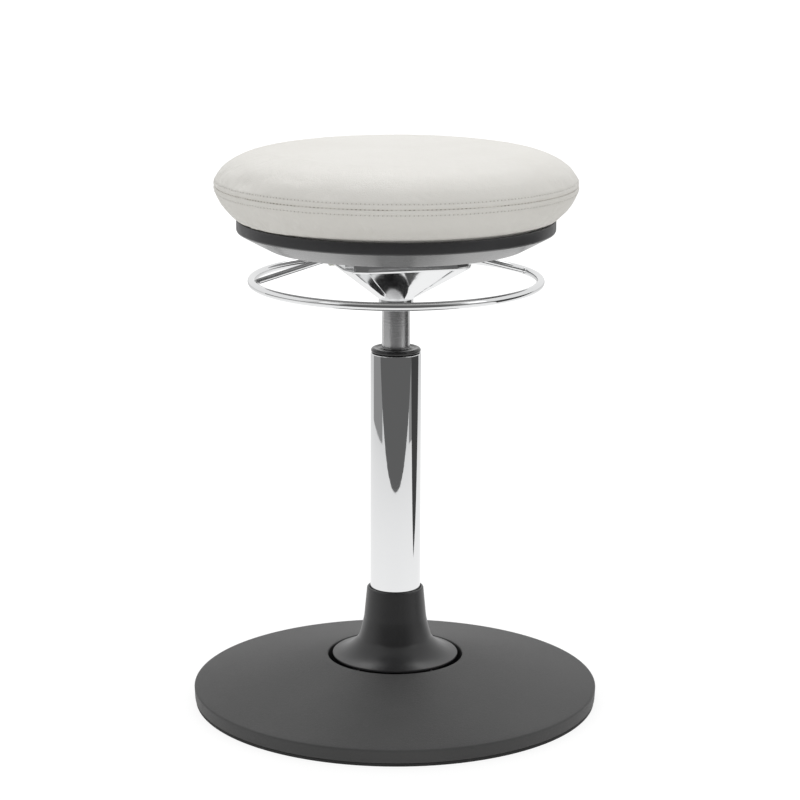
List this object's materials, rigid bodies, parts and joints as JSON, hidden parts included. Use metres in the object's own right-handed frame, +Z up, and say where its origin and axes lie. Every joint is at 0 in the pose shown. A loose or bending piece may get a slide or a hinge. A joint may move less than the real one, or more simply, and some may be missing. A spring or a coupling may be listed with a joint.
{
  "type": "wobble stool",
  "caption": "Round cushioned stool on a chromed gas-lift column that tilts every way on a weighted disc base, with a ring lever under the seat.",
  "frame": {"origin": "on the floor, under the column's axis with the column upright", "axes": "+Z up along the column, +Y towards the back as pictured, +X to the right as pictured"},
  "size_m": [0.4064, 0.4064, 0.5586],
  "materials": {
    "textured_black": "fine textured black moulding",
    "floor_steel": "black painted steel",
    "cast_weight": "rough casting",
    "black_rubber": "matt rubber",
    "plain_steel": "turned steel",
    "zinc_steel": "bright zinc",
    "liner_polymer": "natural acetal",
    "trumpet_black": "satin to gloss black",
    "bright_chrome": "polished chrome",
    "collar_black": "gloss black",
    "satin_steel": "satin ground steel",
    "polished_casting": "polished",
    "pan_aluminium": "satin, fine turned lines",
    "band_black": "satin black",
    "plywood": "raw plywood",
    "foam": "polyurethane foam",
    "white_leather": "off-white grained leather"
  },
  "bodies": {
    "base": {"base_cover": "textured_black", "base_plate": "floor_steel", "ballast_ring": "cast_weight", "foot_ring": "black_rubber", "cover_screws": "zinc_steel", "socket_housing": "plain_steel", "retaining_ring": "plain_steel", "housing_washers": "zinc_steel", "housing_bolts": "zinc_steel", "rubber_buffer": "black_rubber"},
    "tilt_liner": {"ball_liner": "liner_polymer"},
    "column": {"tilt_carrier": "plain_steel", "trumpet_cover": "trumpet_black", "trumpet_screws": "zinc_steel", "column_tube": "bright_chrome", "tube_end_plate": "plain_steel", "lower_bearing_washer": "plain_steel", "guide_bush": "collar_black"},
    "rod": {"piston_rod": "bright_chrome", "rod_clip": "plain_steel", "bearing_balls": "plain_steel", "bearing_cage": "liner_polymer", "upper_bearing_washer": "plain_steel", "lift_stop": "black_rubber", "piston": "plain_steel", "piston_ring": "black_rubber"},
    "seat": {"gas_tube": "satin_steel", "rod_guide": "plain_steel", "rod_seal": "black_rubber", "valve_body": "plain_steel", "seat_bracket": "polished_casting", "pivot_blocks": "liner_polymer", "counter_plate": "plain_steel", "seat_pan": "pan_aluminium", "rim_band": "band_black", "seat_board": "plywood", "spacer_tubes": "zinc_steel", "tee_nuts": "zinc_steel", "seat_bolts": "zinc_steel", "foam_core": "foam", "cover_side": "white_leather", "cover_top": "white_leather"},
    "release_ring": {"release_ring": "bright_chrome", "release_paddle": "plain_steel"},
    "release_pin": {"release_pin": "plain_steel"}
  },
  "joints": [
    {"name": "tilt_sideways_axis", "type": "hinge", "parent": "base", "child": "tilt_liner", "pos_m": [0, 0, 0.025], "axis": [1, 0, 0], "range_deg": [-6, 6], "stiffness_Nm_per_rad": 400, "deforming": ["rubber_buffer"]},
    {"name": "tilt_depth_axis", "type": "hinge", "parent": "tilt_liner", "child": "column", "pos_m": [0, 0, 0.025], "axis": [0, 1, 0], "range_deg": [-6, 6], "stiffness_Nm_per_rad": 400},
    {"name": "swivel", "type": "hinge", "parent": "column", "child": "rod", "pos_m": [0, 0, 0.06], "axis": [0, 0, 1], "continuous": true},
    {"name": "lift", "type": "slide", "parent": "rod", "child": "seat", "axis": [0, 0, 1], "range_m": [0, 0.195]},
    {"name": "ring_tilt", "type": "hinge", "parent": "seat", "child": "release_ring", "pos_m": [-0.00393, 0.01448, 0.449], "axis": [0.965, 0.2622, 0], "range_deg": [0, 8], "stiffness_Nm_per_rad": 6, "springref_deg": -2.86},
    {"name": "release_pin_press", "type": "slide", "parent": "seat", "child": "release_pin", "axis": [0, 0, -1], "range_m": [0, 0.0022]}
  ],
  "couplings": [
    {"joint": "release_pin_press", "follows": "ring_tilt", "m_per_rad": 0.0155}
  ]
}
